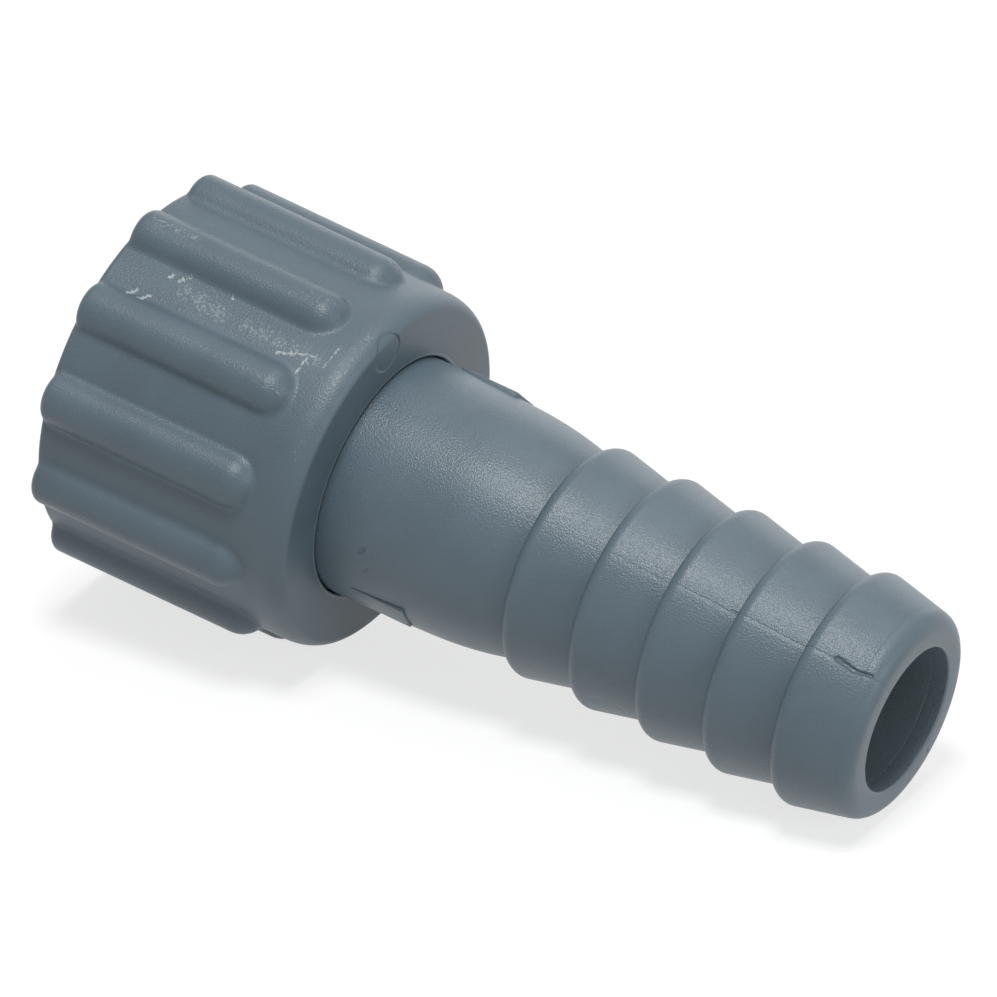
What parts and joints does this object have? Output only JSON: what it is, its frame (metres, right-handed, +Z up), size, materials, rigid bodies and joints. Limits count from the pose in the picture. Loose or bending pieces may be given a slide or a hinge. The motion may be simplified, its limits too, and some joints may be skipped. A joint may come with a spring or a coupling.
{
  "type": "hose connector",
  "caption": "Barbed hose tail held captive in a ribbed union nut: the nut screws on to a threaded pipe, and a hose is pushed over the barbs.",
  "frame": {"origin": "on the floor, under the middle of the fitting as it lies on two grip ribs and its last barb", "axes": "+X towards the hose tail's tip, +Z up; the fitting's own axis dips 7.6 degrees below +X"},
  "size_m": [0.0762, 0.0336, 0.0355],
  "materials": {
    "nut_plastic": "matt spark-eroded moulding, blue-grey",
    "tail_plastic": "matt spark-eroded moulding, blue-grey",
    "washer_rubber": "matt moulded rubber"
  },
  "bodies": {
    "nut": {"union_nut": "nut_plastic"},
    "washer": {"sealing_washer": "washer_rubber"},
    "tail": {"hose_tail": "tail_plastic"}
  },
  "joints": [
    {"name": "axial_play", "type": "slide", "parent": "nut", "child": "washer", "axis": [-0.9913, 0, 0.1319], "range_m": [0, 0.0023]},
    {"name": "swivel", "type": "hinge", "parent": "washer", "child": "tail", "pos_m": [-0.01948, 0, 0.01674], "axis": [0.9913, 0, -0.1319], "continuous": true}
  ]
}
